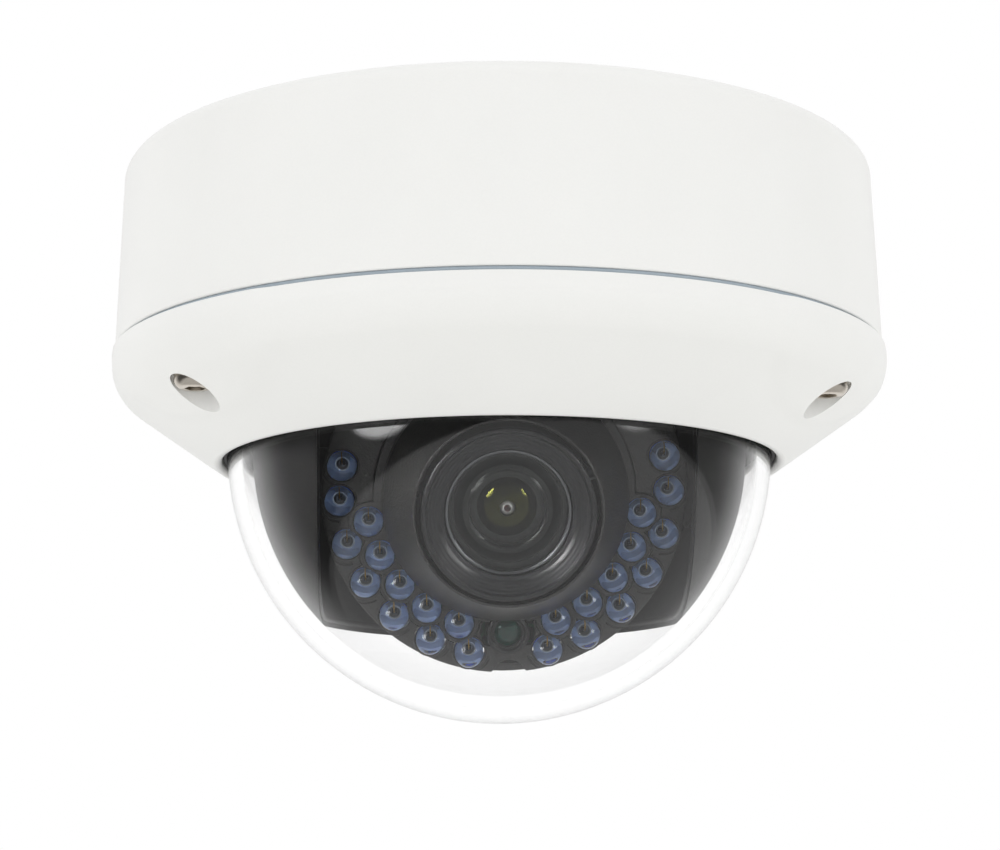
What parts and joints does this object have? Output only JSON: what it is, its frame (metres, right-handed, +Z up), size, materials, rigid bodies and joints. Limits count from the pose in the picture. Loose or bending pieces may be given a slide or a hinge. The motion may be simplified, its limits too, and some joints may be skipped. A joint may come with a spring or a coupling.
{
  "type": "ceiling dome security camera",
  "caption": "Ceiling dome camera: white round base and screwed cover ring, clear bubble, black liner, and an infrared lamp head with a varifocal lens that pans, tilts and rotates.",
  "frame": {"origin": "centre of the flat face that lies against the ceiling", "axes": "+Z points up into the ceiling, -Y is the side that the lens looks towards, +X is to the right of someone facing the lens"},
  "size_m": [0.1394, 0.1397, 0.0999],
  "materials": {
    "white_paint": "fine-grained white powder coat over die-cast aluminium",
    "seal_rubber": "pale grey-blue silicone cord",
    "black_rubber": "matt moulded rubber",
    "brass_plating": "plated",
    "circuit_board": "green solder mask on glass-epoxy board",
    "screw_steel": "zinc-plated",
    "chip_black": "moulded epoxy",
    "bare_aluminium": "as machined",
    "connector_plastic": "ivory nylon",
    "pressed_tin": "tinned pressing",
    "zinc_sheet": "zinc-plated sheet",
    "clear_polycarbonate": "clear optical polycarbonate with a hard coat",
    "stainless_screw": "polished stainless steel",
    "black_nylon": "glass-filled nylon",
    "gloss_black_abs": "polished black ABS",
    "textured_black_abs": "spark-textured black ABS",
    "blue_epoxy": "blue-tinted clear epoxy",
    "green_filter": "dark green optical filter",
    "sensor_glass": "cover glass over silicon",
    "copper_coil": "enamelled copper winding",
    "black_anodised": "satin black anodised",
    "red_filter": "coated infrared-cut glass",
    "coated_glass": "multi-coated optical glass"
  },
  "bodies": {
    "housing": {"base_housing": "white_paint", "housing_seal": "seal_rubber", "cable_grommet": "black_rubber", "conduit_plug": "white_paint", "conduit_plug_seal": "black_rubber", "earth_screw": "brass_plating", "main_board": "circuit_board", "main_board_screws": "screw_steel", "processor": "chip_black", "heat_sink": "bare_aluminium", "wire_connectors": "connector_plastic", "memory_card_slot": "pressed_tin", "reset_switch": "chip_black", "chassis_plate": "zinc_sheet", "chassis_screws": "screw_steel", "friction_ring": "black_rubber"},
    "reset": {"reset_button": "connector_plastic"},
    "cover": {"cover_ring": "white_paint", "bubble_gasket": "black_rubber", "dome_bubble": "clear_polycarbonate", "bubble_retainer": "bare_aluminium", "retainer_screws": "screw_steel", "cover_screws": "stainless_screw"},
    "turntable": {"pan_turntable": "black_nylon", "pan_retainer": "screw_steel", "yoke_left": "black_nylon", "yoke_right": "black_nylon", "yoke_screws": "screw_steel", "inner_liner": "gloss_black_abs", "liner_screws": "screw_steel"},
    "cradle": {"tilt_cradle": "black_nylon", "tilt_lock_screws": "screw_steel", "head_lock_screw": "screw_steel"},
    "head": {"head_carrier": "black_nylon", "head_retainer": "screw_steel", "led_faceplate": "textured_black_abs", "lens_shroud": "textured_black_abs", "led_board": "circuit_board", "led_lamps": "blue_epoxy", "faceplate_screws": "screw_steel", "light_sensor_collar": "black_rubber", "light_sensor_lens": "green_filter", "lens_mount": "black_nylon", "sensor_board": "circuit_board", "sensor_screws": "screw_steel", "image_sensor": "sensor_glass", "filter_coil": "copper_coil", "lens_tube": "black_anodised"},
    "filter_changer": {"filter_slider": "black_nylon", "filter_glass": "red_filter"},
    "zoom": {"zoom_ring": "black_anodised", "zoom_lock_screw": "screw_steel"},
    "rear_group": {"rear_lens_cell": "black_anodised"},
    "focus": {"focus_ring": "black_anodised", "focus_lock_screw": "screw_steel"},
    "front_group": {"front_barrel": "black_anodised", "lens_trim_ring": "bare_aluminium", "front_lens": "coated_glass", "inner_lens_cell": "black_anodised", "iris_plate": "black_anodised"}
  },
  "joints": [
    {"name": "cover_lift_off", "type": "slide", "parent": "housing", "child": "cover", "axis": [0, 0, -1], "range_m": [0, 0.07]},
    {"name": "pan", "type": "hinge", "parent": "housing", "child": "turntable", "pos_m": [0, 0, -0.017], "axis": [0, 0, 1], "range_deg": [-177.5, 177.5]},
    {"name": "tilt", "type": "hinge", "parent": "turntable", "child": "cradle", "pos_m": [0, 0, -0.0548], "axis": [1, 0, 0], "range_deg": [-20, 55]},
    {"name": "head_rotate", "type": "hinge", "parent": "cradle", "child": "head", "pos_m": [0, 0, -0.0548], "axis": [0, -0.9397, -0.342], "range_deg": [-177.5, 177.5]},
    {"name": "zoom_turn", "type": "hinge", "parent": "head", "child": "zoom", "pos_m": [0, 0, -0.0548], "axis": [0, -0.9397, -0.342], "range_deg": [-35, 35]},
    {"name": "rear_group_slide", "type": "slide", "parent": "head", "child": "rear_group", "axis": [0, -0.9397, -0.342], "range_m": [-0.0024, 0.0024]},
    {"name": "focus_turn", "type": "hinge", "parent": "head", "child": "focus", "pos_m": [0, 0, -0.0548], "axis": [0, -0.9397, -0.342], "range_deg": [-40, 40]},
    {"name": "front_group_slide", "type": "slide", "parent": "head", "child": "front_group", "axis": [0, -0.9397, -0.342], "range_m": [-0.0008, 0.0008]},
    {"name": "filter_shift", "type": "slide", "parent": "head", "child": "filter_changer", "axis": [0.9995, -0.0113, 0.0312], "range_m": [0, 0.008]},
    {"name": "reset_press", "type": "slide", "parent": "housing", "child": "reset", "axis": [0, 0, 1], "range_m": [0, 0.0004], "stiffness_N_per_m": 400}
  ],
  "couplings": [
    {"joint": "zoom_turn", "follows": "rear_group_slide", "rad_per_m": 250},
    {"joint": "focus_turn", "follows": "front_group_slide", "rad_per_m": 833.33}
  ]
}
